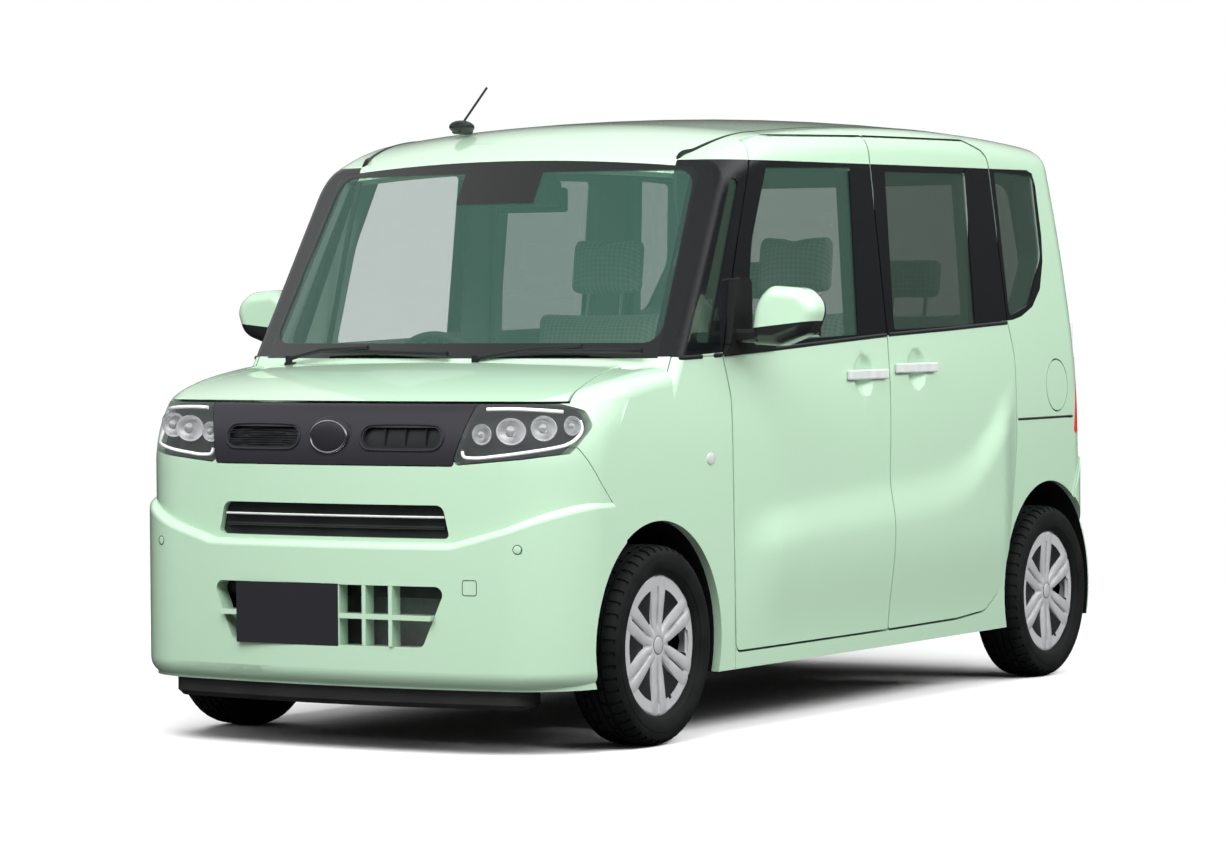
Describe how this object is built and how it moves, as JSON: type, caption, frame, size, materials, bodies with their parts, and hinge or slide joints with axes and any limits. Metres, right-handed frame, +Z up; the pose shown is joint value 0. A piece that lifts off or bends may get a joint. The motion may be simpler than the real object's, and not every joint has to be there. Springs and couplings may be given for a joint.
{
  "type": "kei car",
  "caption": "Tall boxy kei wagon, right-hand drive, with hinged front doors, bonnet, tailgate and fuel lid, steered front wheels and turning road wheels.",
  "frame": {"origin": "on the ground under the middle of the overall length and width, wheels straight ahead", "axes": "the car faces -Y, its left side is +X and +Z is up"},
  "size_m": [1.9376, 3.395, 1.8336],
  "materials": {
    "paint": "pale mint pearl paint under clear coat",
    "gloss_black": "gloss black",
    "black_plastic": "fine-grained black",
    "chassis": "satin black underbody coat",
    "cast": "as cast",
    "alloy": "as cast and dull",
    "steel": "dull exhaust steel",
    "silver": "silver wheel covers, satin",
    "chrome": "satin chrome",
    "tyre": "black rubber",
    "glass": "clear with a green tint",
    "dark_glass": "privacy glass",
    "lens": "clear polished lens",
    "red_lens": "red lens",
    "cloth": "pale grey-green woven cloth"
  },
  "bodies": {
    "body": {"body_shell": "paint", "fenders": "paint", "front_bumper": "paint", "headlamps": "lens", "grille_panel": "gloss_black", "sliding_doors": "paint", "sliding_door_glass": "dark_glass", "quarter_glass": "dark_glass", "windscreen": "glass", "rear_bumper": "paint", "tail_lamps": "red_lens", "front_subframe": "chassis", "front_frame": "chassis", "radiator": "alloy", "engine_block": "alloy", "rear_axle": "chassis", "rear_springs": "chassis", "fuel_tank": "black_plastic", "exhaust": "steel", "floor_pan": "chassis", "arch_liners": "black_plastic", "air_dam": "black_plastic", "dashboard": "black_plastic", "front_seats": "cloth", "rear_seat": "cloth", "inner_mirror": "black_plastic", "sliding_door_handles": "chrome", "wipers": "black_plastic", "antenna": "black_plastic", "upper_grille": "black_plastic", "pill_grilles": "black_plastic", "lower_lattice": "paint", "number_plate": "gloss_black"},
    "door_left": {"door_front_left": "paint", "front_door_glass_left": "glass", "door_mirror_left": "paint", "front_handle_left": "chrome"},
    "door_right": {"door_front_right": "paint", "front_door_glass_right": "glass", "door_mirror_right": "paint", "front_handle_right": "chrome"},
    "bonnet": {"bonnet": "paint"},
    "tailgate": {"tailgate": "paint", "tailgate_glass": "dark_glass", "rear_wiper": "black_plastic"},
    "fuel_lid": {"fuel_lid": "paint"},
    "steering_wheel": {"steering_wheel": "black_plastic"},
    "knuckle_left": {"knuckle_left": "cast"},
    "knuckle_right": {"knuckle_right": "cast"},
    "wheel_front_left": {"tyre_front_left": "tyre", "wheel_front_left": "silver"},
    "wheel_front_right": {"tyre_front_right": "tyre", "wheel_front_right": "silver"},
    "wheel_rear_left": {"tyre_rear_left": "tyre", "wheel_rear_left": "silver"},
    "wheel_rear_right": {"tyre_rear_right": "tyre", "wheel_rear_right": "silver"}
  },
  "joints": [
    {"name": "steer_left", "type": "hinge", "parent": "body", "child": "knuckle_left", "pos_m": [0.6, -1.1375, 0.185], "axis": [-0.1377, 0.0275, 0.9901], "range_deg": [-32, 32]},
    {"name": "steer_right", "type": "hinge", "parent": "body", "child": "knuckle_right", "pos_m": [-0.6, -1.1375, 0.185], "axis": [0.1377, 0.0275, 0.9901], "range_deg": [-32, 32]},
    {"name": "steering_wheel_turn", "type": "hinge", "parent": "body", "child": "steering_wheel", "pos_m": [-0.34, -0.54, 0.945], "axis": [0, 0.8821, 0.4711], "range_deg": [-512, 512]},
    {"name": "wheel_front_left_spin", "type": "hinge", "parent": "knuckle_left", "child": "wheel_front_left", "pos_m": [0.65, -1.1375, 0.272], "axis": [1, 0, 0], "continuous": true},
    {"name": "wheel_front_right_spin", "type": "hinge", "parent": "knuckle_right", "child": "wheel_front_right", "pos_m": [-0.65, -1.1375, 0.272], "axis": [1, 0, 0], "continuous": true},
    {"name": "wheel_rear_left_spin", "type": "hinge", "parent": "body", "child": "wheel_rear_left", "pos_m": [0.65, 1.3225, 0.272], "axis": [1, 0, 0], "continuous": true},
    {"name": "wheel_rear_right_spin", "type": "hinge", "parent": "body", "child": "wheel_rear_right", "pos_m": [-0.65, 1.3225, 0.272], "axis": [1, 0, 0], "continuous": true},
    {"name": "door_left_hinge", "type": "hinge", "parent": "body", "child": "door_left", "pos_m": [0.722, -0.792, 0.8], "axis": [0.04, 0, -0.9992], "range_deg": [0, 65]},
    {"name": "door_right_hinge", "type": "hinge", "parent": "body", "child": "door_right", "pos_m": [-0.722, -0.792, 0.8], "axis": [0.04, 0, 0.9992], "range_deg": [0, 65]},
    {"name": "bonnet_hinge", "type": "hinge", "parent": "body", "child": "bonnet", "pos_m": [0, -1.075, 1.065], "axis": [-1, 0, 0], "range_deg": [0, 50]},
    {"name": "tailgate_hinge", "type": "hinge", "parent": "body", "child": "tailgate", "pos_m": [0, 1.51, 1.7], "axis": [1, 0, 0], "range_deg": [0, 80]},
    {"name": "fuel_lid_hinge", "type": "hinge", "parent": "body", "child": "fuel_lid", "pos_m": [0.7155, 1.3145, 0.925], "axis": [0, 0, -1], "range_deg": [0, 80]}
  ],
  "couplings": [
    {"joint": "steer_right", "follows": "steer_left", "ratio": 1},
    {"joint": "steering_wheel_turn", "follows": "steer_left", "ratio": 16}
  ]
}
